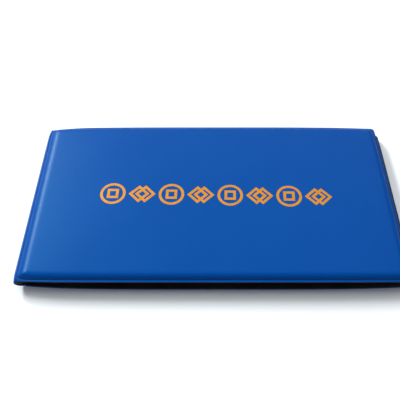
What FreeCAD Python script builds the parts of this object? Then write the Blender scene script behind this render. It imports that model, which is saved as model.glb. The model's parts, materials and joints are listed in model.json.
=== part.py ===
import FreeCAD, Part
import os
import Sketcher

# A banknote album: two padded, heat-welded vinyl covers, a soft rounded spine, and a bound
# stack of clear pocket leaves with black cards in them. It is drawn closed, lying on its back.
# +X runs from the spine to the fore-edge, +Y from the tail to the head, +Z up. The origin is
# on the surface it lies on, under the middle of its outline. All sizes are in millimetres.

Vector = FreeCAD.Vector
Rotation = FreeCAD.Rotation
Placement = FreeCAD.Placement

ALONG_X = Vector(1, 0, 0)
OPENING_AXIS = Vector(0, -1, 0)     # right-hand turns about this axis open the album
UPRIGHT = Vector(0, 0, 1)

SIZES = {
    # covers
    "cover_length": 203.0,          # hinge line to fore-edge
    "cover_height": 106.0,          # tail to head
    "skin_thickness": 0.4,
    "foam_thickness": 1.4,
    "board_thickness": 1.2,
    "lining_thickness": 0.3,
    "flange_width": 1.4,            # welded edge outside the padding, on three sides
    "land_gap": 0.2,                # hinge weld to the cover's welded edge beside it
    "land_width": 0.65,             # that edge, from there to the padding
    "rim_flat": 0.1,                # upright part of the foam's side, below its rolled edge
    "crown_corner": 2.2,            # the padding's corners, seen from above
    "fore_corner": 1.8,             # the covers' two outer corners
    "fit_gap": 0.05,                # room round the foam and the board inside the skin
    # spine
    "spine_shift": 4.0,             # how far the front hinge lies left of the back one
    "table_gap": 0.1,               # room under the spine when the album lies open
    "bead_extra": 0.05,             # how much the rolled hinge weld is thicker than the skin
    "lining_drop": 0.05,            # the spine lining's outer face, outside that line
    "foam_trim": 0.8,               # hinge line to the spine's foam
    "strip_thickness": 0.5,
    "strip_start": 0.5,             # back hinge line to the binding strip
    "strip_end": 1.1,               # binding strip to the front hinge line
    # leaves
    "leaf_count": 10,
    "leaf_pitch": 0.5,
    "end_space": 0.5,               # lining to the middle of the nearest leaf
    "fore_space": 6.8,              # how far the back cover reaches past the lowest leaf, about
    "head_space": 5.0,              # how far the covers reach past a leaf at head and tail
    "leaf_corner": 3.0,
    "film_thickness": 0.1,
    "margin_width": 5.0,            # bound edge of each leaf
    "hinge_gap": 0.35,              # leaf's fold line to the solids on each side of it
    "spine_seam": 4.0,
    "tail_seam": 3.0,
    "fore_seam": 3.0,
    "mouth_drop": 4.0,              # the front film stops this far below the head
    "card_thickness": 0.15,
    "card_slack": 4.5,              # room for the card between the side seams
    "card_drop": 2.0,               # the card stops this far below the head of its leaf
    # foil stamp
    "foil_thickness": 0.05,
    "motif_pitch": 16.6,
    "motif_width": 15.4,
    "motif_stroke": 1.5,
    "coin_diameter": 14.4,
    "coin_square": 6.4,
    "lozenge_width": 11.8,          # one lozenge, corner to corner
    "row_offset": 1.6,              # row's middle, towards the fore-edge from the pad's middle
    "row_lift": -0.8,               # row's middle, towards the head
    "row_tilt": 1.1,                # degrees, clockwise seen from above
}

MOTIF_COUNT = 8
TRIM_BLOCK = 12.0                   # thickness of the block that trims the leaf margins
TRIM_EXTRA = 6.0                    # extra length on each cutting block and untrimmed slab

doc = FreeCAD.newDocument("note_album")
sheet = doc.addObject("Spreadsheet::Sheet", "Sizes")
for row, (alias, value) in enumerate(SIZES.items(), 1):
    sheet.set(f"A{row}", str(value))
    sheet.setAlias(f"A{row}", alias)
worked = doc.addObject("App::VarSet", "Worked")
doc.recompute()

nodes = {}


def work_out(name, expression, kind="App::PropertyFloat"):
    """Keep a value that follows from the sheet, so that other expressions can name it."""
    worked.addProperty(kind, name)
    worked.setExpression(name, expression)


def bind(thing, **expressions):
    """Bind properties to expressions; two underscores in a name stand for a dot."""
    for name, expression in expressions.items():
        thing.setExpression(name.replace("__", "."), expression)


def place(thing, x="0", y="0", z="0"):
    bind(thing, Placement__Base__x=x, Placement__Base__y=y, Placement__Base__z=z)


def keep(label, thing):
    """Take an object as a finished sub-part under this label."""
    thing.Label = label
    nodes[label] = thing
    return thing


# Values shared by several sub-parts ---------------------------------------------------------

work_out("pad_height", "Sizes.board_thickness + Sizes.foam_thickness + Sizes.skin_thickness")
work_out("crown_round", "Sizes.foam_thickness - Sizes.rim_flat + Sizes.skin_thickness")
work_out("bead_radius", "Sizes.skin_thickness + Sizes.bead_extra")
work_out("land_start", "Worked.bead_radius + Sizes.land_gap")
work_out("crown_start", "Worked.land_start + Sizes.land_width")
work_out("spine_sagitta", "Worked.pad_height - Sizes.skin_thickness - Sizes.table_gap")
work_out("leaf_length", "Sizes.cover_length - Sizes.margin_width - 2 * Sizes.hinge_gap"
                        " - Sizes.fore_space")
work_out("leaf_height", "Sizes.cover_height - 2 * Sizes.head_space")
work_out("card_length", "Worked.leaf_length - Sizes.spine_seam - Sizes.fore_seam"
                        " - Sizes.card_slack")
work_out("card_height", "Worked.leaf_height - Sizes.tail_seam - Sizes.card_drop")
work_out("stack_gap", "(Sizes.leaf_count - 1) * Sizes.leaf_pitch + 2 * Sizes.end_space")
work_out("hinge_rise", "Worked.stack_gap + 2 * Sizes.lining_thickness")
work_out("chord", "sqrt(Worked.hinge_rise ^ 2 + Sizes.spine_shift ^ 2)")
work_out("cos_lean", "Worked.hinge_rise / Worked.chord")
work_out("sin_lean", "Sizes.spine_shift / Worked.chord")
work_out("lean", "atan(Sizes.spine_shift / Worked.hinge_rise)", "App::PropertyAngle")
work_out("arc_radius", "(Worked.chord ^ 2 / 4 + Worked.spine_sagitta ^ 2) / (2 * Worked.spine_sagitta)")
work_out("arc_inset", "Worked.arc_radius - Worked.spine_sagitta")
work_out("arc_half", "asin(Worked.chord / 2 / Worked.arc_radius)", "App::PropertyAngle")
work_out("spine_reach", "Worked.arc_radius + Sizes.skin_thickness + Sizes.spine_shift / 2"
                        " - Worked.arc_inset * Worked.cos_lean")
work_out("back_hinge_x", "-(Sizes.cover_length - Worked.spine_reach) / 2")
work_out("front_hinge_x", "Worked.back_hinge_x - Sizes.spine_shift")
work_out("front_hinge_z", "Worked.pad_height + Worked.hinge_rise")
work_out("arc_x", "Worked.back_hinge_x - Sizes.spine_shift / 2 + Worked.arc_inset * Worked.cos_lean")
work_out("arc_z", "Worked.pad_height + Worked.hinge_rise / 2 + Worked.arc_inset * Worked.sin_lean")
work_out("strip_back", "Sizes.lining_thickness - Sizes.lining_drop")
work_out("strip_face", "Worked.strip_back + Sizes.strip_thickness")
work_out("margin_thickness", "2 * Sizes.film_thickness")


# Helpers for solids -------------------------------------------------------------------------

def flat_sketch(body, name, length, width, start=None):
    """Rectangle on the body's XY plane, centred on its X axis, from `start` along +X."""
    plane = next(item for item in body.Origin.OriginFeatures if item.Role == "XY_Plane")
    sketch = body.newObject("Sketcher::SketchObject", name)
    sketch.AttachmentSupport = [(plane, "")]
    sketch.MapMode = "FlatFace"
    corners = [Vector(1, -5, 0), Vector(11, -5, 0), Vector(11, 5, 0), Vector(1, 5, 0)]
    for index, corner in enumerate(corners):
        sketch.addGeometry(Part.LineSegment(corner, corners[(index + 1) % 4]), False)
    for index in range(4):
        sketch.addConstraint(Sketcher.Constraint("Coincident", index, 2, (index + 1) % 4, 1))
    for side in (0, 2):
        sketch.addConstraint(Sketcher.Constraint("Horizontal", side))
    sketch.addConstraint(Sketcher.Constraint("Vertical", 1))
    sketch.addConstraint(Sketcher.Constraint("Symmetric", 3, 1, 3, 2, -1))
    measures = [("length", Sketcher.Constraint("DistanceX", 0, 1, 0, 2, 10.0), length),
                ("width", Sketcher.Constraint("DistanceY", 1, 1, 1, 2, 10.0), width)]
    if start is None:
        sketch.addConstraint(Sketcher.Constraint("PointOnObject", 3, 1, -2))
    else:
        measures.append(("start", Sketcher.Constraint("DistanceX", -1, 1, 0, 1, 1.0), start))
    for name, constraint, expression in measures:
        index = sketch.addConstraint(constraint)
        sketch.renameConstraint(index, name)
        sketch.setExpression(f"Constraints.{name}", expression)
    return sketch


def pad(body, sketch, height):
    feature = body.newObject("PartDesign::Pad", "Pad")
    feature.Profile = sketch
    bind(feature, Length=height)
    sketch.Visibility = False
    return feature


def round_edges(body, radius, wanted):
    """Fillet the edges of the body's last feature that `wanted` picks."""
    doc.recompute()
    feature = body.Tip
    names = [f"Edge{index}" for index, edge in enumerate(feature.Shape.Edges, 1) if wanted(edge)]
    fillet = body.newObject("PartDesign::Fillet", "Fillet")
    fillet.Base = (feature, names)
    bind(fillet, Radius=radius)
    return fillet


def upright_at_top(body):
    """Pick the upright edges that reach the top of the body."""
    doc.recompute()
    top = body.Shape.BoundBox.ZMax

    def wanted(edge):
        low, high = edge.BoundBox.ZMin, edge.BoundBox.ZMax
        return high - low > 1e-4 and edge.BoundBox.XLength < 1e-4 and abs(high - top) < 1e-4
    return wanted


def top_rim(body):
    """Pick the edges that lie flat in the body's highest face."""
    doc.recompute()
    top = body.Shape.BoundBox.ZMax
    return lambda edge: edge.BoundBox.ZMin > top - 1e-4


def fore_edge(body, tail_only=False):
    """Pick the upright edges at the outer corners, or the one at the tail alone."""
    doc.recompute()
    far = body.Shape.BoundBox.XMax

    def wanted(edge):
        box = edge.BoundBox
        upright = box.ZLength > 1e-4 and box.YLength < 1e-4 and box.XMin > far - 1e-4
        return upright and not (tail_only and box.YMin > 0)
    return wanted


def plate(name, length, width, thickness, corner=None, tail_only=False):
    """Flat sheet from the body's own origin along +X, with its outer corners rounded."""
    body = doc.addObject("PartDesign::Body", name)
    pad(body, flat_sketch(body, "Outline", length, width), thickness)
    if corner:
        round_edges(body, corner, fore_edge(body, tail_only))
    return body


def pillow(name, inset, height, corner, rim):
    """Padding block in a cover's own frame, `inset` inside the outer face of the skin."""
    body = doc.addObject("PartDesign::Body", name)
    length = f"Sizes.cover_length - Sizes.flange_width - Worked.crown_start - 2 * ({inset})"
    width = f"Sizes.cover_height - 2 * Sizes.flange_width - 2 * ({inset})"
    start = f"Worked.crown_start + ({inset})"
    pad(body, flat_sketch(body, "Padding", length, width, start), height)
    round_edges(body, corner, upright_at_top(body))
    if rim:
        round_edges(body, rim, top_rim(body))
    return body


def leaning_box(name, inner, start, thickness, width, length):
    """Box that stands along the line between the hinges: its outer face lies `inner` towards
    the leaves from that line, and it begins `start` up from the back hinge."""
    box = doc.addObject("Part::Box", name)
    box.Placement = Placement(Vector(), Rotation(OPENING_AXIS, 1))
    bind(box, Length=thickness, Width=width, Height=length, Placement__Rotation__Angle="Worked.lean")
    place(box,
          x=f"Worked.back_hinge_x + ({inner}) * Worked.cos_lean - ({start}) * Worked.sin_lean",
          y=f"-({width}) / 2",
          z=f"Worked.pad_height + ({inner}) * Worked.sin_lean + ({start}) * Worked.cos_lean")
    return box


def rod(name, radius, width, x, z):
    """Round bar along Y, centred on the album's middle."""
    bar = doc.addObject("Part::Cylinder", name)
    bar.Placement = Placement(Vector(), Rotation(ALONG_X, 90))
    bind(bar, Radius=radius, Height=width)
    place(bar, x, f"({width}) / 2", z)
    return bar


def join(kind, name, base, tool):
    result = doc.addObject(kind, name)
    result.Base = base
    result.Tool = tool
    return result


# Covers -------------------------------------------------------------------------------------
# A cover is drawn in its own frame: the hinge line is its Y axis, the skin and the lining meet
# at its height 0, and +Z points outwards. The back cover is the same cover turned over.

def on_cover(side, thing, height="0"):
    """Move a sub-part from the cover's own frame to its place, `height` outwards."""
    if side == "front":
        place(thing, "Worked.front_hinge_x", "0", f"Worked.front_hinge_z + ({height})")
    else:
        thing.Placement = Placement(Vector(), Rotation(ALONG_X, 180))
        place(thing, "Worked.back_hinge_x", "0", f"Worked.pad_height - ({height})")


def outer_skin(side):
    """Vinyl skin: a flat welded flange round a raised crown that is open underneath."""
    shell = pillow(f"{side}_skin_form", "0", "Worked.pad_height", "Sizes.crown_corner",
                   "Worked.crown_round")
    flange = doc.addObject("PartDesign::Body", f"{side}_flange_form")
    pad(flange, flat_sketch(flange, "Flange", "Sizes.cover_length - Worked.land_start",
                            "Sizes.cover_height", "Worked.land_start"), "Sizes.skin_thickness")
    round_edges(flange, "Sizes.fore_corner", fore_edge(flange))
    core = pillow(f"{side}_core_form", "Sizes.skin_thickness",
                  "Worked.pad_height - Sizes.skin_thickness",
                  "Sizes.crown_corner - Sizes.skin_thickness",
                  "Worked.crown_round - Sizes.skin_thickness")
    solid = join("Part::Fuse", f"{side}_solid_form", flange, shell)
    skin = join("Part::Cut", f"{side}_outer_skin", solid, core)
    on_cover(side, skin)
    return keep(f"{side}_outer_skin", skin)


def cover_board(side):
    inset = "Sizes.skin_thickness + Sizes.fit_gap"
    board = pillow(f"{side}_board", inset, "Sizes.board_thickness",
                   f"Sizes.crown_corner - ({inset})", None)
    on_cover(side, board)
    return keep(f"{side}_board", board)


def foam_pad(side):
    inset = "Sizes.skin_thickness + Sizes.fit_gap"
    foam = pillow(f"{side}_foam_pad", inset, "Sizes.foam_thickness",
                  f"Sizes.crown_corner - ({inset})", "Worked.crown_round - Sizes.skin_thickness")
    on_cover(side, foam, "Sizes.board_thickness")
    return keep(f"{side}_foam_pad", foam)


def cover_lining(side):
    lining = doc.addObject("PartDesign::Body", f"{side}_lining")
    pad(lining, flat_sketch(lining, "Lining", "Sizes.cover_length - Worked.land_start",
                            "Sizes.cover_height", "Worked.land_start"), "Sizes.lining_thickness")
    round_edges(lining, "Sizes.fore_corner", fore_edge(lining))
    on_cover(side, lining, "-Sizes.lining_thickness")
    return keep(f"{side}_lining", lining)


# Spine --------------------------------------------------------------------------------------

def spine_skin():
    """Curved skin between the two hinge lines, with a rolled weld along each."""
    outer = doc.addObject("Part::Cylinder", "spine_outer_form")
    bind(outer, Radius="Worked.arc_radius + Sizes.skin_thickness", Height="Sizes.cover_height",
         Angle="2 * Worked.arc_half")
    inner = doc.addObject("Part::Cylinder", "spine_inner_form")
    bind(inner, Radius="Worked.arc_radius", Height="Sizes.cover_height")
    for form in (outer, inner):
        form.Placement = Placement(Vector(), Rotation(ALONG_X, 90))
        place(form, "0", "Sizes.cover_height / 2", "0")
    shell = join("Part::Cut", "spine_shell_form", outer, inner)
    shell.Placement = Placement(Vector(), Rotation(OPENING_AXIS, 1))
    bind(shell, Placement__Rotation__Angle="180 deg + Worked.lean - Worked.arc_half")
    place(shell, "Worked.arc_x", "0", "Worked.arc_z")
    beads = [rod("back_bead_form", "Worked.bead_radius", "Sizes.cover_height",
                 "Worked.back_hinge_x", "Worked.pad_height"),
             rod("front_bead_form", "Worked.bead_radius", "Sizes.cover_height",
                 "Worked.front_hinge_x", "Worked.front_hinge_z")]
    skin = doc.addObject("Part::MultiFuse", "spine_outer_skin")
    skin.Shapes = [shell] + beads
    return keep("spine_outer_skin", skin)


def spine_lining():
    lining = leaning_box("spine_lining", "-Sizes.lining_drop", "Worked.bead_radius",
                         "Sizes.lining_thickness", "Sizes.cover_height",
                         "Worked.chord - 2 * Worked.bead_radius")
    return keep("spine_lining", lining)


def spine_foam():
    """Soft core that fills the bow between the skin and the lining."""
    width = "Sizes.cover_height - 2 * Sizes.flange_width"
    round_form = rod("spine_foam_round", "Worked.arc_radius - Sizes.fit_gap", width,
                     "Worked.arc_x", "Worked.arc_z")
    depth = "(Worked.spine_sagitta + Sizes.fit_gap)"
    bow_form = leaning_box("spine_foam_bow", f"-{depth}", "Sizes.foam_trim",
                           f"{depth} - Sizes.lining_drop", width,
                           "Worked.chord - 2 * Sizes.foam_trim")
    return keep("spine_foam_strip", join("Part::Common", "spine_foam_strip", round_form, bow_form))


def binding_strip():
    strip = leaning_box("binding_strip", "Worked.strip_back", "Sizes.strip_start",
                        "Sizes.strip_thickness", "Worked.leaf_height",
                        "Worked.chord - Sizes.strip_start - Sizes.strip_end")
    return keep("binding_strip", strip)


def leaf_level(number):
    """Height of the middle of a leaf; leaf 1 is under the front cover."""
    return (f"(Worked.pad_height + Sizes.lining_thickness + Sizes.end_space"
            f" + (Sizes.leaf_count - {number}) * Sizes.leaf_pitch)")


def margin_end(number):
    """Where a leaf's bound margin stops, towards the fore-edge."""
    rise = f"({leaf_level(number)} - Worked.margin_thickness / 2 - Worked.pad_height)"
    return (f"(Worked.back_hinge_x + Sizes.margin_width + Worked.strip_face / Worked.cos_lean"
            f" - {rise} * Worked.sin_lean / Worked.cos_lean)")


def bound_slabs(label, numbers, thickness, bottom):
    """Stack of flat strips whose spine edges are trimmed square to the binding strip."""
    slabs = []
    for number in numbers:
        slab = doc.addObject("Part::Box", f"{label}_slab_{number:02d}")
        bind(slab, Length=f"Sizes.margin_width + {TRIM_EXTRA}", Width="Worked.leaf_height",
             Height=thickness)
        place(slab, f"{margin_end(number)} - Sizes.margin_width - {TRIM_EXTRA}",
              "-Worked.leaf_height / 2", f"{leaf_level(number)} + ({bottom})")
        slabs.append(slab)
    stack = doc.addObject("Part::Compound", f"{label}_stack_form")
    stack.Links = slabs
    block = leaning_box(f"{label}_trim_form", f"Worked.strip_face - {TRIM_BLOCK}",
                        f"-{TRIM_EXTRA}", str(TRIM_BLOCK),
                        f"Worked.leaf_height + 2 * {TRIM_EXTRA}",
                        f"Worked.chord + 2 * {TRIM_EXTRA}")
    return keep(label, join("Part::Cut", label, stack, block))


# Leaves -------------------------------------------------------------------------------------

def film(label, height, corner_tail_only, x, y, z):
    sheet_body = plate(label, "Worked.leaf_length", height, "Sizes.film_thickness",
                       "Sizes.leaf_corner", corner_tail_only)
    place(sheet_body, x, y, z)
    return keep(label, sheet_body)


def seams(label, x, z):
    """Welded border between the two films, on three sides and open at the head."""
    sheet_body = plate(f"{label}_sheet", "Worked.leaf_length", "Worked.leaf_height",
                       "Sizes.card_thickness", "Sizes.leaf_corner")
    place(sheet_body, x, "0", z)
    pocket = doc.addObject("Part::Box", f"{label}_pocket")
    bind(pocket, Length="Worked.leaf_length - Sizes.spine_seam - Sizes.fore_seam",
         Width="Worked.leaf_height", Height=f"Sizes.card_thickness + 2 * {TRIM_EXTRA}")
    place(pocket, f"{x} + Sizes.spine_seam", "-Worked.leaf_height / 2 + Sizes.tail_seam",
          f"{z} - {TRIM_EXTRA}")
    return keep(label, join("Part::Cut", label, sheet_body, pocket))


def card(label, x, z):
    """Black card in the pocket, centred between the side seams and standing on the tail seam."""
    board = doc.addObject("Part::Box", label)
    bind(board, Length="Worked.card_length", Width="Worked.card_height",
         Height="Sizes.card_thickness")
    place(board, f"{x} + Sizes.spine_seam + Sizes.card_slack / 2",
          "-Worked.leaf_height / 2 + Sizes.tail_seam", z)
    return keep(label, board)


def leaf(number):
    x = f"({margin_end(number)} + 2 * Sizes.hinge_gap)"
    level = leaf_level(number)
    half_card = "Sizes.card_thickness / 2"
    name = f"leaf_{number:02d}"
    film(f"{name}_back_film", "Worked.leaf_height", False, x, "0",
         f"{level} - {half_card} - Sizes.film_thickness")
    film(f"{name}_front_film", "Worked.leaf_height - Sizes.mouth_drop", True, x,
         "-Sizes.mouth_drop / 2", f"{level} + {half_card}")
    seams(f"{name}_seams", x, f"({level} - {half_card})")
    card(f"{name}_card", x, f"{level} - {half_card}")


# Foil stamp ---------------------------------------------------------------------------------
# Two plain motifs take turns along the row: a round coin with a square hole, and two linked
# lozenges. Each is drawn about the row's own middle.

def coin_motif(name, middle):
    disc = doc.addObject("Part::Cylinder", f"{name}_disc")
    bind(disc, Radius="Sizes.coin_diameter / 2", Height="Sizes.foil_thickness")
    place(disc, middle)
    hollow = doc.addObject("Part::Cylinder", f"{name}_hollow")
    bind(hollow, Radius="Sizes.coin_diameter / 2 - Sizes.motif_stroke", Height="Sizes.foil_thickness")
    place(hollow, middle)
    rim = join("Part::Cut", f"{name}_rim", disc, hollow)
    frame = square_ring(f"{name}_frame", "Sizes.coin_square", middle, 0)
    motif = doc.addObject("Part::Compound", name)
    motif.Links = [rim, frame]
    return motif


def square_ring(name, outer, middle, turn):
    """Square ring centred on `middle`; at a turn of 45 degrees it is a lozenge."""
    forms = []
    for part, side in (("outside", f"({outer})"), ("inside", f"(({outer}) - 2 * Sizes.motif_stroke)")):
        box = doc.addObject("Part::Box", f"{name}_{part}")
        bind(box, Length=side, Width=side, Height="Sizes.foil_thickness")
        box.Placement = Placement(Vector(), Rotation(UPRIGHT, turn))
        if turn:
            place(box, middle, f"-{side} * sqrt(2) / 2")
        else:
            place(box, f"{middle} - {side} / 2", f"-{side} / 2")
        forms.append(box)
    return join("Part::Cut", name, *forms)


def lozenge_motif(name, middle):
    side = "(Sizes.lozenge_width / sqrt(2))"
    apart = "(Sizes.motif_width - Sizes.lozenge_width) / 2"
    rings = [square_ring(f"{name}_{word}", side, f"{middle} {sign} {apart}", 45)
             for word, sign in (("left", "-"), ("right", "+"))]
    return join("Part::Fuse", name, *rings)


def foil_stamp():
    motifs = []
    for index in range(MOTIF_COUNT):
        middle = f"({index} - {(MOTIF_COUNT - 1) / 2}) * Sizes.motif_pitch"
        draw = lozenge_motif if index % 2 else coin_motif
        motifs.append(draw(f"motif_{index + 1}", middle))
    row = doc.addObject("Part::Compound", "foil_stamp")
    row.Links = motifs
    row.Placement = Placement(Vector(), Rotation(Vector(0, 0, -1), 1))
    bind(row, Placement__Rotation__Angle="Sizes.row_tilt * 1 deg")
    place(row,
          "Worked.front_hinge_x + Sizes.row_offset + (Worked.crown_start + Sizes.cover_length"
          " - Sizes.flange_width) / 2",
          "Sizes.row_lift", "Worked.front_hinge_z + Worked.pad_height")
    return keep("foil_stamp", row)


# The album ----------------------------------------------------------------------------------

for side in ("back", "front"):
    outer_skin(side)
    foam_pad(side)
    cover_board(side)
    cover_lining(side)
spine_skin()
spine_foam()
spine_lining()
binding_strip()
leaf_total = int(SIZES["leaf_count"])
bound_slabs("leaf_margins", range(1, leaf_total + 1), "Worked.margin_thickness",
            "-Worked.margin_thickness / 2")
bound_slabs("margin_spacers", range(2, leaf_total + 1),
            "Sizes.leaf_pitch - Worked.margin_thickness", "Worked.margin_thickness / 2")
for number in range(1, leaf_total + 1):
    leaf(number)
foil_stamp()

doc.recompute()
failed = [item.Name for item in doc.Objects if "Invalid" in item.State or "Error" in item.State]
if failed:
    raise RuntimeError(f"objects that failed: {failed}")
for label, thing in nodes.items():
    if thing.Shape.isNull() or not thing.Shape.isValid():
        raise RuntimeError(f"{label} has no valid shape")

os.makedirs("parts", exist_ok=True)
for label, thing in nodes.items():
    thing.Shape.exportStep(f"parts/{label}.step")

whole = FreeCAD.BoundBox()
for thing in nodes.values():
    whole.add(thing.Shape.BoundBox)
print(f"{len(nodes)} sub-parts, box {whole}")
print(f"hinges: back x {worked.back_hinge_x:.4f} z {worked.pad_height:.4f}, "
      f"front x {worked.front_hinge_x:.4f} z {worked.front_hinge_z:.4f}, lean {worked.lean}")
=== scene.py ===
# %% [markdown]
# # A padded banknote album
# The album has two padded vinyl covers, a soft spine and ten clear pocket leaves. The packed
# model already says where each part is and how it turns, so this lesson only builds the looks
# round it: soft rolls of foam under a satin skin, pressed weld lines, foil and film.

# %% Load the frame
import bpy
import bmesh
import json
import math
from mathutils import Matrix, Vector

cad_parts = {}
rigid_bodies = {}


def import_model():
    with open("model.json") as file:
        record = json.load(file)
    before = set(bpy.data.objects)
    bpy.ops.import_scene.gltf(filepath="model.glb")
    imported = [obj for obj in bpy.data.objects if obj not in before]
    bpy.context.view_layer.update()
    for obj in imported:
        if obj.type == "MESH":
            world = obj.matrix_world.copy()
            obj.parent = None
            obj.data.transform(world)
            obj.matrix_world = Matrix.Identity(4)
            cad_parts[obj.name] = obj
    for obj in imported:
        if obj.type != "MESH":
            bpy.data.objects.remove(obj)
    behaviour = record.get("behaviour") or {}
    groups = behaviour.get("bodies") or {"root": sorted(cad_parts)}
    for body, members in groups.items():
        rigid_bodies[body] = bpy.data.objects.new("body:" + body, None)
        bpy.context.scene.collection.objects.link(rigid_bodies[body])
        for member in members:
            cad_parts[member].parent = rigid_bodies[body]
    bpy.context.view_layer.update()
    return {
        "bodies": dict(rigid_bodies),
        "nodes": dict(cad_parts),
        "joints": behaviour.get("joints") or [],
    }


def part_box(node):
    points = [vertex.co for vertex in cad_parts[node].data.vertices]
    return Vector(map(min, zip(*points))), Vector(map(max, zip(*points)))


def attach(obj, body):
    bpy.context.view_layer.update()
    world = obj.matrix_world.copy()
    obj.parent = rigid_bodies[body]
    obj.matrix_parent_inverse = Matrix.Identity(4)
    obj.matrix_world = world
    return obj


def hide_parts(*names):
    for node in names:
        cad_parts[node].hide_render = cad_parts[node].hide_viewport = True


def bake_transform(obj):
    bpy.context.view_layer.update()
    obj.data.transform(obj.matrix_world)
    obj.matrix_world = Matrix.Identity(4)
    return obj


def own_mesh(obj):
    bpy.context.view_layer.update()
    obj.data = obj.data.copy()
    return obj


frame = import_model()
MM = 0.001
hinge_at = {joint["name"]: Vector(joint["pos_m"]) for joint in frame["joints"]}
front_hinge = hinge_at["cover_hinge"]
back_hinge = hinge_at["spine_hinge"]

# %% [markdown]
# ## Measures
# The covers, leaves and hinges come from the frame. What the frame can't know is how soft
# the foam is, so the roll and the weld line get sizes of their own. A cover is drawn in
# its own frame, with the hinge line at 0, the weld plane at height 0 and the outside upwards.

# %% Cover measures
lining_low, lining_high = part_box("front_lining")
skin_low, skin_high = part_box("front_outer_skin")
board_low, board_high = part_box("front_board")
cover_length = lining_high.x - front_hinge.x
cover_half = lining_high.y
lining_thickness = lining_high.z - lining_low.z
pad_height = skin_high.z - lining_high.z
board_thickness = board_high.z - board_low.z
SKIN = 0.4 * MM                 # thickness of the vinyl skin
FLANGE = 1.4 * MM               # width of the welded edge
BEAD = 0.45 * MM                # radius of the rolled weld on a hinge line
CROWN_START = 1.0 * MM          # hinge line to the weld line of the padding
ROLL = 4.4 * MM                 # how far in from the weld line the padding is still rounding
HINGE_ROLL = 7.0 * MM           # the same beside the hinge, where it rounds more slowly
WELD_DIP = 0.22 * MM            # depth of the pressed line beside the roll
WELD_WIDTH = 0.45 * MM
PAD_CORNER = 2.2 * MM           # corner of the weld line
FORE_CORNER = 1.8 * MM          # corner of the cover
print("cover:", round(cover_length / MM, 2), "x", round(2 * cover_half / MM, 2), "mm")

# %% [markdown]
# No padded cover is quite flat. The long edges stand out a little in the middle, the front
# cover arches off the leaves, and the weld at each end of the spine pulls the corners beside it
# down and in.

# %% Bows and pinches
SIDE_BOW = {"front": 0.6 * MM, "back": 1.6 * MM}    # how far the long edges stand out
SIDE_BOW_MIDDLE = 0.75          # share of that bow in the middle; the rest pulls the ends in
FORE_BOW = {"front": 0.9 * MM, "back": 0.4 * MM}    # how far the fore-edge stands out
ARCH = {"front": 0.7 * MM, "back": 0.0}     # how far a cover's middle bows away from the leaves
END_DROP = 0.1 * MM             # how far the two ends of a cover lean towards the leaves
PINCH = {"front": 1.0, "back": 0.3}     # how strongly the spine's end welds pinch each cover
PINCH_DROP = 0.8 * MM           # how far a full pinch presses a corner towards the leaves
PINCH_PULL = 0.6 * MM           # how far it pulls the corner in
PINCH_WIDE, PINCH_LONG = 6 * MM, 24 * MM    # how far a pinch reaches across and along a cover
CROWN = {"front": 0.3 * MM, "back": 0.0}    # extra fullness of the padding in its middle
CROWN_REACH = 12 * ROLL         # how far in from the weld line that fullness is reached
ROLL_POWER = 2.5                # above 2 the roll is squarer than an ellipse
print("front cover arches", round(ARCH["front"] / MM, 2), "mm off the leaves")

# %% [markdown]
# ## A sheet with loops where they count
# A rounded roll needs many narrow faces and a flat panel needs few. So the sheet starts as one
# face, and a bisecting plane lays each loop where it is wanted: close together at the edges,
# wide apart in the middle.

# %% Sheet helpers
def places(low, high, fine, coarse, reach):
    """Where loops go: `fine` apart within `reach` of both ends and `coarse` apart between."""
    count = math.ceil(reach / fine)
    ends = [step * reach / count for step in range(1, count + 1)]
    span = high - low - 2 * reach
    middle = math.ceil(span / coarse)
    inner = [low + reach + step * span / middle for step in range(1, middle)]
    return [low + step for step in ends] + inner + [high - step for step in reversed(ends)]


def sheet(low_x, high_x, half_y, x_places, y_places):
    """A flat sheet from low_x to high_x, centred on the X axis, with a loop at each place."""
    bm = bmesh.new()
    bmesh.ops.create_grid(bm, x_segments=1, y_segments=1, size=0.5)
    bmesh.ops.scale(bm, vec=(high_x - low_x, 2 * half_y, 1), verts=bm.verts)
    bmesh.ops.translate(bm, vec=((low_x + high_x) / 2, 0, 0), verts=bm.verts)
    for normal, spots in (((1, 0, 0), x_places), ((0, 1, 0), y_places)):
        for spot in spots:
            bmesh.ops.bisect_plane(bm, geom=bm.verts[:] + bm.edges[:] + bm.faces[:],
                                   plane_co=Vector(normal) * spot, plane_no=normal, dist=1e-8)
    return bm


def piece(name, bm, material, smooth=True):
    """Turn a bmesh into an object with its place in its mesh."""
    mesh = bpy.data.meshes.new(name)
    bm.to_mesh(mesh)
    bm.free()
    mesh.materials.append(material)
    if smooth:
        mesh.shade_smooth()
    made = bpy.data.objects.new(name, mesh)
    bpy.context.scene.collection.objects.link(made)
    print(name, "has", len(mesh.polygons), "faces")
    return made


def thicken(made, thickness, side=-1):
    """Give a sheet its thickness; side -1 adds it behind the faces."""
    solid = made.modifiers.new("thickness", "SOLIDIFY")
    solid.thickness = thickness
    solid.offset = side
    return made


# %% [markdown]
# ## Finishes
# The covers are calendered vinyl: a strong blue with a satin gloss and a fine leather grain
# that shows where light rakes over it. The grain is a bump from small cells, and a slow noise
# shifts the colour and the gloss a little, as heat and handling do.

# %% Finish helpers
def material(name, colour, roughness, **sockets):
    """A Principled finish; constant values sit on the shader's own sockets."""
    made = bpy.data.materials.new(name)
    made.use_nodes = True
    shader = made.node_tree.nodes["Principled BSDF"]
    shader.inputs["Base Color"].default_value = (*colour, 1)
    shader.inputs["Roughness"].default_value = roughness
    for socket, value in sockets.items():
        shader.inputs[socket.replace("_", " ")].default_value = value
    return made


def node(made, kind, **values):
    """Add a node; names with an initial capital are its input sockets."""
    added = made.node_tree.nodes.new(kind)
    for name, value in values.items():
        if name[0].isupper():
            added.inputs[name.replace("_", " ")].default_value = value
        else:
            setattr(added, name, value)
    return added


def link(made, source, output, target, socket):
    """Join one node's output to another node's input, both by name."""
    made.node_tree.links.new(source.outputs[output], target.inputs[socket])


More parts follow.
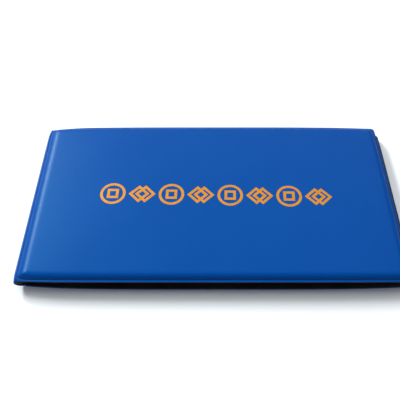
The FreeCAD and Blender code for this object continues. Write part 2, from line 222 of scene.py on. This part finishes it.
def mottled(made, dark, light, scale, rough=None):
    """Let a noise shift the colour between two values, and the roughness too if given."""
    shader = made.node_tree.nodes["Principled BSDF"]
    where = node(made, "ShaderNodeTexCoord")
    noise = node(made, "ShaderNodeTexNoise", Scale=scale, Detail=4.0)
    link(made, where, "Object", noise, "Vector")
    ramp = node(made, "ShaderNodeValToRGB")
    ramp.color_ramp.elements[0].position = 0.3
    ramp.color_ramp.elements[1].position = 0.7
    ramp.color_ramp.elements[0].color = (*dark, 1)
    ramp.color_ramp.elements[1].color = (*light, 1)
    link(made, noise, "Fac", ramp, "Fac")
    link(made, ramp, "Color", shader, "Base Color")
    if rough:
        span = node(made, "ShaderNodeMapRange", To_Min=rough[0], To_Max=rough[1])
        link(made, noise, "Fac", span, "Value")
        link(made, span, "Result", shader, "Roughness")
    return where


def grain(made, where, cells, depth, fibres=None):
    """Leather-like bump from small cells, with an optional finer noise on top."""
    shader = made.node_tree.nodes["Principled BSDF"]
    pores = node(made, "ShaderNodeTexVoronoi", Scale=cells, feature="SMOOTH_F1")
    link(made, where, "Object", pores, "Vector")
    bump = node(made, "ShaderNodeBump", Strength=0.6, Distance=depth)
    link(made, pores, "Distance", bump, "Height")
    if fibres:
        noise = node(made, "ShaderNodeTexNoise", Scale=fibres, Detail=3.0)
        link(made, where, "Object", noise, "Vector")
        fine = node(made, "ShaderNodeBump", Strength=0.5, Distance=depth)
        link(made, noise, "Fac", fine, "Height")
        link(made, bump, "Normal", fine, "Normal")
        bump = fine
    link(made, bump, "Normal", shader, "Normal")
    return made


# %% Cover vinyl
BLUE_DEEP = (0.0, 0.0515, 0.274)
BLUE_BRIGHT = (0.0, 0.0555, 0.289)
PEARL = (0.0, 0.75, 1.0, 1)             # tint of the broad reflection
cover_vinyl = material("cover_vinyl", BLUE_DEEP, 0.4, Specular_IOR_Level=0.14,
                       Specular_Tint=PEARL, Coat_Weight=0.06, Coat_Roughness=0.17)
cover_where = mottled(cover_vinyl, BLUE_DEEP, BLUE_BRIGHT, 40.0, rough=(0.38, 0.46))
grain(cover_vinyl, cover_where, 1500.0, 0.02 * MM, fibres=800.0)
print("cover vinyl:", BLUE_DEEP, "to", BLUE_BRIGHT)

# %% Inner vinyls
# The linings are near black. This is partly their own colour and partly painted shade: they are dark
# enough that the shaded band under the front cover's edge stays black.
lining_vinyl = material("lining_vinyl", (0.006, 0.007, 0.01), 0.5, Specular_IOR_Level=0.4)
lining_where = mottled(lining_vinyl, (0.004, 0.005, 0.008), (0.01, 0.011, 0.015), 70.0,
                       rough=(0.42, 0.58))
grain(lining_vinyl, lining_where, 1900.0, 0.03 * MM)

binding_vinyl = material("binding_vinyl", (0.006, 0.006, 0.007), 0.45)
binding_where = mottled(binding_vinyl, (0.005, 0.005, 0.006), (0.011, 0.011, 0.012), 120.0)
grain(binding_vinyl, binding_where, 2400.0, 0.02 * MM)
print("inner vinyls:", lining_vinyl.name, binding_vinyl.name)

# %% [markdown]
# ## Leaf finishes
# A pocket leaf is soft clear film. It bends light very little, so a thin see-through sheet
# with sharp highlights says more than real refraction would. The welded seams are cloudier,
# and the cards are dull black paperboard with a short fibre.

# %% Leaf finishes
clear_film = material("clear_film", (0.8, 0.86, 0.9), 0.1, Alpha=0.08, Specular_IOR_Level=0.5)
film_where = node(clear_film, "ShaderNodeTexCoord")
film_waves = node(clear_film, "ShaderNodeTexNoise", Scale=45.0, Detail=1.5)
link(clear_film, film_where, "Object", film_waves, "Vector")
film_bump = node(clear_film, "ShaderNodeBump", Strength=0.35, Distance=0.5 * MM)
link(clear_film, film_waves, "Fac", film_bump, "Height")
link(clear_film, film_bump, "Normal", clear_film.node_tree.nodes["Principled BSDF"], "Normal")

seam_vinyl = material("seam_vinyl", (0.55, 0.6, 0.64), 0.3, Alpha=0.5)
seam_where = mottled(seam_vinyl, (0.5, 0.55, 0.6), (0.62, 0.67, 0.7), 300.0)
grain(seam_vinyl, seam_where, 1400.0, 0.04 * MM)

black_card = material("black_card", (0.008, 0.008, 0.009), 0.8, Specular_IOR_Level=0.25)
card_where = mottled(black_card, (0.006, 0.006, 0.007), (0.014, 0.014, 0.015), 900.0)
grain(black_card, card_where, 3200.0, 0.008 * MM, fibres=5000.0)
print("leaf finishes:", clear_film.name, seam_vinyl.name, black_card.name)

# %% [markdown]
# ## Fillings and foil
# The foam and the grey board inside the covers are coarse and matt. The foil is dull gold,
# a little worn, and shows the grain of the vinyl under it.

# %% Inner fillings and foil
pad_foam = material("pad_foam", (0.72, 0.7, 0.62), 0.95)
foam_where = mottled(pad_foam, (0.6, 0.58, 0.5), (0.78, 0.76, 0.68), 800.0)
grain(pad_foam, foam_where, 1600.0, 0.1 * MM)

grey_board = material("grey_board", (0.3, 0.27, 0.22), 0.9)
board_where = mottled(grey_board, (0.24, 0.21, 0.17), (0.36, 0.32, 0.27), 600.0)
grain(grey_board, board_where, 2500.0, 0.04 * MM, fibres=4000.0)

gold_foil = material("gold_foil", (0.62, 0.24, 0.002), 0.45, Metallic=0.2,
                     Specular_IOR_Level=0.2)
foil_where = mottled(gold_foil, (0.52, 0.19, 0.001), (0.63, 0.245, 0.002), 400.0,
                     rough=(0.38, 0.5))
grain(gold_foil, foil_where, 1500.0, 0.02 * MM)
print("fillings and foil:", pad_foam.name, grey_board.name, gold_foil.name)

# %% [markdown]
# ## The padded covers
# Each cover is a skin pulled over foam and welded flat round three sides. The foam makes the
# edge roll over softly, and the weld bar leaves a sunk line beside the roll. A height over
# the sheet gives that shape: the distance in from the weld line decides how high the skin is.

# %% Height of the skin
def inside_weld(u, v):
    """How far a place on the cover is inside the weld line, in terms of the usual roll."""
    from_hinge = (u - CROWN_START) * ROLL / HINGE_ROLL
    over_u = PAD_CORNER - min(from_hinge, cover_length - FLANGE - u)
    over_v = PAD_CORNER - (cover_half - FLANGE - abs(v))
    outside = math.hypot(max(over_u, 0), max(over_v, 0))
    return PAD_CORNER - outside - min(max(over_u, over_v), 0)


def skin_height(u, v, crown, inward=0.0):
    """Height of the skin over the weld plane, or of a layer that starts `inward` of it."""
    inside = inside_weld(u, v) - inward
    dip = WELD_DIP * math.exp(-(inside / WELD_WIDTH) ** 2)
    if inside <= 0:
        return SKIN - dip
    rise = pad_height - crown - SKIN
    turn = min(inside / ROLL, 1)
    roll = rise * math.sqrt(1 - (1 - turn) ** ROLL_POWER)
    full = crown * math.sin(min(inside / CROWN_REACH, 1) * math.pi / 2)
    return SKIN - dip * (1 - turn) + roll + full


# %% Outline of a cover
def fit_corner(vert, middle, reach, half, radius):
    """Slide a vertex in a square corner on to the rounded corner of an outline about `middle`."""
    a = (abs(vert.co.x - middle) - (reach - radius)) / radius
    b = (abs(vert.co.y) - (half - radius)) / radius
    if a <= 0 or b <= 0:
        return
    end, side = math.copysign(1, vert.co.x - middle), math.copysign(1, vert.co.y)
    vert.co.x = middle + end * (reach - radius + radius * a * math.sqrt(1 - b * b / 2))
    vert.co.y = side * (half - radius + radius * b * math.sqrt(1 - a * a / 2))


def pinch(u, v):
    """1 at the spine's two ends, fading to 0 away from them."""
    wide = max(abs(v) - (cover_half - PINCH_WIDE), 0) / PINCH_WIDE
    return wide ** 2 * (1 - min(max(u, 0) / PINCH_LONG, 1)) ** 2


def lift(side, u):
    """How far a cover's own bow lifts a place on it off the weld plane."""
    along = 2 * min(max(u / cover_length, 0), 1) - 1
    return ARCH[side] - (ARCH[side] + END_DROP) * along ** 4 if u > 0 else -END_DROP


def swell(vert, side):
    """Give a flat cover's vertex its bow, its fuller edges and its pinched corners."""
    u, v = vert.co.x, vert.co.y
    along = 2 * min(max(u / cover_length, 0), 1) - 1
    across = v / cover_half
    pinched = pinch(u, v) * PINCH[side]
    vert.co.x += FORE_BOW[side] * max(along, 0) ** 3 * (1 - across ** 4)
    vert.co.y += across * (SIDE_BOW[side] * (SIDE_BOW_MIDDLE - along ** 4) - PINCH_PULL * pinched)
    vert.co.z += lift(side, u) - PINCH_DROP * pinched


def place_cover(bm, side):
    """Move a cover from its own frame to its hinge; the back one is turned over."""
    if side == "front":
        move = Matrix.Translation(front_hinge)
    else:
        move = Matrix.Translation(back_hinge) @ Matrix.Rotation(math.pi, 4, "X")
    bmesh.ops.transform(bm, matrix=move, verts=bm.verts)


# %% [markdown]
# ## Skins that wrap the hinge bead
# The skin wraps a small bead on the hinge line before it reaches the spine. The bead's arc
# starts square to the spine and ends square to the cover.

# %% Directions round the hinges
spine_line = (front_hinge - back_hinge).normalized()
outward = Vector((-spine_line.z, 0, spine_line.x))      # square to the spine, away from leaves
if outward.x > 0:
    outward.negate()
spine_span = (front_hinge - back_hinge).length
OUTSIDE = {"front": Vector((0, 0, 1)), "back": Vector((0, 0, -1))}      # a closed cover's outside
print("spine leans", round(math.degrees(math.atan2(-spine_line.x, spine_line.z)), 2), "degrees")

# %% Cover skins
FINE, COARSE = 0.3 * MM, 3.6 * MM       # loop spacing at the edges and in the middle
EDGE_REACH = 8.4 * MM                   # how far in from an edge the fine loops go
BEAD_STEPS = 6


def cover_skin(side, crown):
    """Skin of one cover, from its hinge bead to the fore-edge."""
    bm = sheet(0, cover_length, cover_half,
               places(0, cover_length, FINE, COARSE, EDGE_REACH),
               places(-cover_half, cover_half, FINE, COARSE, EDGE_REACH))
    hinge_edges = [edge for edge in bm.edges if all(abs(v.co.x) < 1e-9 for v in edge.verts)]
    for vert in bm.verts:
        vert.co.z = skin_height(vert.co.x, vert.co.y, crown)
        if vert.co.x < CROWN_START / 2:
            vert.co.z += (BEAD - SKIN) * (1 - vert.co.x / (CROWN_START / 2))
    hinge_height = max(v.co.z for edge in hinge_edges for v in edge.verts)
    for vert in {v for edge in hinge_edges for v in edge.verts}:
        vert.co.z = hinge_height
    bmesh.ops.spin(bm, geom=hinge_edges, cent=(0, 0, 0), axis=(0, 1, 0),
                   angle=-outward.angle(OUTSIDE[side]), steps=BEAD_STEPS,
                   use_merge=False, use_duplicate=False)
    for vert in bm.verts:
        fit_corner(vert, 0, cover_length, cover_half, FORE_CORNER)
        swell(vert, side)
    place_cover(bm, side)
    made = thicken(piece(f"{side}_cover_skin", bm, cover_vinyl), SKIN)
    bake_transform(made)
    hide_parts(f"{side}_outer_skin")


for side, crown in CROWN.items():
    cover_skin(side, crown)

# %% [markdown]
# ## Board, foam and lining
# Nobody sees the board or the foam, but they are what holds the skin up. The board is a plain
# sheet that takes the cover's bow. The foam is made from the same height as the skin, one skin
# lower. The lining is welded to the flange, and it shows when the album is open.

# %% Room for the fillings
FOAM_GAP = 0.12 * MM            # slack between the foam and what it lies against
FOAM_INSET = 0.9 * MM           # weld line to the rim of the foam and the board
PAD_LOW = CROWN_START + 1.5 * FOAM_INSET
PAD_HIGH = cover_length - FLANGE - FOAM_INSET
PAD_HALF = cover_half - FLANGE - FOAM_INSET
print("fillings:", round((PAD_HIGH - PAD_LOW) / MM, 1), "x", round(2 * PAD_HALF / MM, 1), "mm")


# %% Boards
def stiff_board(side):
    """Grey board that keeps one cover flat, bowed as the cover is."""
    bm = sheet(PAD_LOW, PAD_HIGH, PAD_HALF, places(PAD_LOW, PAD_HIGH, MM, 2 * COARSE, 3 * MM),
               places(-PAD_HALF, PAD_HALF, MM, 2 * COARSE, 3 * MM))
    for vert in bm.verts:
        fit_corner(vert, (PAD_LOW + PAD_HIGH) / 2, (PAD_HIGH - PAD_LOW) / 2, PAD_HALF, PAD_CORNER)
        vert.co.z = board_thickness
        swell(vert, side)
    place_cover(bm, side)
    made = thicken(piece(f"{side}_stiff_board", bm, grey_board), board_thickness - FOAM_GAP / 2)
    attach(made, f"{side}_cover")
    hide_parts(f"{side}_board")


for side in CROWN:
    stiff_board(side)


# %% Foam pads
def foam_pad(side, crown):
    """Foam between the board and the skin of one cover."""
    bm = sheet(PAD_LOW, PAD_HIGH, PAD_HALF,
               places(PAD_LOW, PAD_HIGH, 2 * FINE, COARSE, EDGE_REACH / 2),
               places(-PAD_HALF, PAD_HALF, 2 * FINE, COARSE, EDGE_REACH / 2))
    rim = [edge for edge in bm.edges if edge.is_boundary]
    for vert in bm.verts:
        fit_corner(vert, (PAD_LOW + PAD_HIGH) / 2, (PAD_HIGH - PAD_LOW) / 2, PAD_HALF, PAD_CORNER)
        top = skin_height(vert.co.x, vert.co.y, crown, FOAM_INSET) - SKIN - 2 * FOAM_GAP
        vert.co.z = max(top, board_thickness + FOAM_GAP)
    lower = bmesh.ops.extrude_edge_only(bm, edges=rim)["geom"]
    for vert in [item for item in lower if isinstance(item, bmesh.types.BMVert)]:
        vert.co.z = board_thickness + FOAM_GAP / 2
    bmesh.ops.edgeloop_fill(bm, edges=[item for item in lower if isinstance(item, bmesh.types.BMEdge)
                                       and item.is_boundary])
    bmesh.ops.recalc_face_normals(bm, faces=bm.faces)
    for vert in bm.verts:
        swell(vert, side)
    place_cover(bm, side)
    made = piece(f"{side}_foam", bm, pad_foam)
    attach(made, f"{side}_cover")
    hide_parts(f"{side}_foam_pad")


for side, crown in CROWN.items():
    foam_pad(side, crown)

# %% Linings
LINING_START = 0.6 * MM         # hinge line to the lining's edge


def cover_lining(side):
    """Near-black sheet on the inside of one cover, out to its edges; the black is partly painted
    shade.
    """
    bm = sheet(LINING_START, cover_length, cover_half,
               places(LINING_START, cover_length, 0.5 * MM, 2 * COARSE, 3 * MM),
               places(-cover_half, cover_half, 0.5 * MM, 2 * COARSE, 3 * MM))
    for vert in bm.verts:
        fit_corner(vert, 0, cover_length, cover_half, FORE_CORNER)
        swell(vert, side)
    place_cover(bm, side)
    made = thicken(piece(f"{side}_cover_lining", bm, lining_vinyl), lining_thickness)
    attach(made, f"{side}_cover")
    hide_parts(f"{side}_lining")


for side in CROWN:
    cover_lining(side)

# %% [markdown]
# ## The spine
# The spine is a soft tube. It bows out between the two hinge lines and is drawn in a little where
# the end welds cross it. A strip is cut into fine lengths by bisecting planes, and each of its
# vertices is then set out from the straight line between the hinges.

# %% Shape of the spine
SPINE_BOW = 4.4 * MM            # how far the spine's skin stands out
SPINE_SHOULDER = 1.9            # below 2 the section is more pointed than an ellipse
SPINE_END = 5.0 * MM            # length over which each end is drawn in
END_FULLNESS = 0.75             # how much of the bow is left at the very end
SPINE_STEPS = 40
LINING_STAND = 0.05 * MM        # how far the lining stands out, so that it clears the leaves


def end_share(y):
    """0 at the spine's very end, rising smoothly to 1 further in."""
    inside = min(max((cover_half - abs(y)) / SPINE_END, 0), 1)
    return math.sin(inside * math.pi / 2)


def spine_bow(share, y):
    """How far the skin stands out from the hinge-to-hinge line."""
    section = (1 - abs(2 * share - 1) ** SPINE_SHOULDER) ** (1 / SPINE_SHOULDER)
    full = END_FULLNESS + (1 - END_FULLNESS) * end_share(y)
    return BEAD + (SPINE_BOW - BEAD) * section * full


def spine_inner(share, y):
    """The lining lies flat, and flares out at the ends to meet the skin in the end weld."""
    return max((spine_bow(share, y) - SKIN) * (1 - end_share(y)), LINING_STAND)


def spine_strip(name, stand, look, thickness, trim=0.0, half=cover_half):
    """A strip along the spine; `stand` says how far out each place of it lies."""
    shares = [(1 - math.cos(math.pi * step / SPINE_STEPS)) / 2 for step in range(1, SPINE_STEPS)]
    bm = sheet(trim, 1 - trim, half, shares, places(-half, half, 2 * FINE, COARSE, EDGE_REACH))
    for vert in bm.verts:
        share, y = vert.co.x, vert.co.y
        pinched = pinch(0, y)
        drop = (END_DROP + PINCH_DROP * pinched) * (1 - 2 * share)
        vert.co = back_hinge + spine_line * spine_span * share + outward * stand(share, y)
        vert.co.y = y - y / cover_half * (SIDE_BOW["front"] / 4 + PINCH_PULL * pinched)
        vert.co.z += drop
    bmesh.ops.recalc_face_normals(bm, faces=bm.faces)
    if sum((face.normal for face in bm.faces), Vector()).dot(outward) < 0:
        bmesh.ops.reverse_faces(bm, faces=bm.faces)
    made = thicken(piece(name, bm, look), thickness)
    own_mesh(made)
    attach(made, "spine")
    return made


# %% Spine skin, foam and lining
spine_skin = spine_strip("spine_skin", spine_bow, cover_vinyl, SKIN)
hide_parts("spine_outer_skin")

FOAM_TRIM = 0.14                # share of the spine left free beside each hinge
SPINE_FOAM = 1.4 * MM           # thickness of the spine's foam
spine_foam = spine_strip("spine_foam", lambda share, y: spine_bow(share, y) - SKIN - FOAM_GAP,
                         pad_foam, SPINE_FOAM, FOAM_TRIM, cover_half - 2 * SPINE_END)
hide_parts("spine_foam_strip")

inner_spine = spine_strip("spine_inner_lining", spine_inner, lining_vinyl, lining_thickness)
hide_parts("spine_lining")

# %% [markdown]
# ## Foil stamp
# The stamped row is hot foil pressed into the skin. The frame's own motifs give its shape, so
# their mesh is copied, joined up and laid on the crowned skin instead of being drawn again.

# %% Foil
FOIL_PROUD = 0.03 * MM          # how far the foil stands over the skin, and reaches into it


def foil_row():
    """The frame's row of motifs, laid on the front cover's skin."""
    source = frame["nodes"]["foil_stamp"]
    bm = bmesh.new()
    bm.from_mesh(source.data)
    bmesh.ops.remove_doubles(bm, verts=bm.verts, dist=1e-6)
    low = min(vert.co.z for vert in bm.verts)
    for vert in bm.verts:
        u, v = vert.co.x - front_hinge.x, vert.co.y
        top = front_hinge.z + skin_height(u, v, CROWN["front"]) + lift("front", u)
        vert.co.z = top + (FOIL_PROUD if vert.co.z > low + 1e-6 else -FOIL_PROUD)
    made = piece("foil_row", bm, gold_foil, smooth=False)
    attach(made, "front_cover")
    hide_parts("foil_stamp")


foil_row()

# %% [markdown]
# ## Leaf folds
# Each leaf is one sheet of film that folds beside its bound edge. The frame leaves a small gap
# on the fold line, and a thin strip bridges it.

# %% Leaf folds
FOLD_REACH = 0.45 * MM          # how far a strip goes to each side of its fold line
FOLD_THICKNESS = 0.14 * MM
leaf_names = sorted(name for name in frame["bodies"] if name.startswith("leaf_"))


def leaf_fold(name):
    """The strip of film over the fold line between the spine and one leaf."""
    at = hinge_at[f"{name}_hinge"]
    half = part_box(f"{name}_back_film")[1][1]
    bm = sheet(-FOLD_REACH, FOLD_REACH, half,
               places(-FOLD_REACH, FOLD_REACH, 0.1 * MM, 0.1 * MM, 0.4 * MM),
               places(-half, half, 8 * MM, 12 * MM, 8 * MM))
    bmesh.ops.translate(bm, vec=at, verts=bm.verts)
    made = thicken(piece(f"{name}_fold", bm, seam_vinyl), FOLD_THICKNESS, side=0)
    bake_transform(made)


for name in leaf_names:
    leaf_fold(name)

# %% [markdown]
# ## The frame's own parts
# The films, seams, cards and binding pieces are thin flat sheets, and the frame already shapes
# them well. They only need their finishes, which go by how each part's name ends.

# %% Finishes for the frame's parts
FRAME_FINISH = {"film": clear_film, "seams": seam_vinyl, "card": black_card,
                "binding_strip": binding_vinyl, "leaf_margins": binding_vinyl,
                "margin_spacers": binding_vinyl}
for name, part in frame["nodes"].items():
    for ending, look in FRAME_FINISH.items():
        if name.endswith(ending):
            part.data.materials.clear()
            part.data.materials.append(look)
print("finishes for parts that end in:", ", ".join(FRAME_FINISH))

# %% [markdown]
# ## Floor, light and camera
# The floor is plain and pale. A narrow soft box from the left and behind draws the long glow
# on the left roll. A wide one, high up and behind, lights the panel and leaves the near edge in
# shade. The camera looks down from the tail side.

# %% Floor
FLOOR_DROP = 0.05 * MM          # keeps the floor clear of the back cover's skin


def pale_floor():
    """A plain floor just under the album."""
    bm = bmesh.new()
    bmesh.ops.create_grid(bm, x_segments=1, y_segments=1, size=4.0)
    bmesh.ops.translate(bm, vec=(0, 0, -FLOOR_DROP), verts=bm.verts)
    look = material("floor_paint", (0.93, 0.93, 0.93), 0.8)
    mottled(look, (0.92, 0.92, 0.92), (0.94, 0.94, 0.94), 6.0)
    floor = piece("floor", bm, look)


pale_floor()

# %% Lights
LIGHT_COLOUR = (0.9, 0.96, 1.0)
SKY_COLOUR = (0.96, 0.98, 1.0, 1)
SKY_STRENGTH = 0.32


def soft_light(name, place, target, along, width, height, power):
    """A soft box at `place` that faces `target`, with its width along `along`."""
    data = bpy.data.lights.new(name, "AREA")
    data.shape = "RECTANGLE"
    data.size, data.size_y = width, height
    data.energy = power
    data.color = LIGHT_COLOUR
    lamp = bpy.data.objects.new(name, data)
    lamp.location = place
    back = (Vector(place) - Vector(target)).normalized()
    wide = (Vector(along) - back * back.dot(Vector(along))).normalized()
    lamp.rotation_euler = Matrix((wide, back.cross(wide), back)).transposed().to_euler()
    bpy.context.scene.collection.objects.link(lamp)


soft_light("side_strip", place=(-0.775, 0.655, 0.828), target=(-0.097, 0, 0.01),
           along=(0.29, 0.9, -0.33), width=0.6, height=0.2, power=17)
soft_light("overhead", place=(-0.1, 0.85, 1.45), target=(0, 0, 0),
           along=(1, 0, 0), width=2.2, height=1.8, power=21)
world = bpy.data.worlds.new("studio")
world.use_nodes = True
sky = world.node_tree.nodes["Background"]
sky.inputs["Color"].default_value = SKY_COLOUR
sky.inputs["Strength"].default_value = SKY_STRENGTH
bpy.context.scene.world = world
bpy.context.scene.view_settings.view_transform = "Standard"
print("lights:", len(bpy.data.lights))

# %% Camera
CAMERA_AT = (-0.00186, -0.1651, 0.2424)
CAMERA_PITCH = 55.0                     # degrees below level
camera_data = bpy.data.cameras.new("camera")
camera_data.lens = 45
camera_data.shift_x = -0.03             # the album stands a little to the right of the middle
camera = bpy.data.objects.new("camera", camera_data)
camera.location = CAMERA_AT
camera.rotation_euler = (math.radians(90 - CAMERA_PITCH), 0, 0)
bpy.context.scene.collection.objects.link(camera)
bpy.context.scene.camera = camera
print("camera looks down at", CAMERA_PITCH, "degrees")
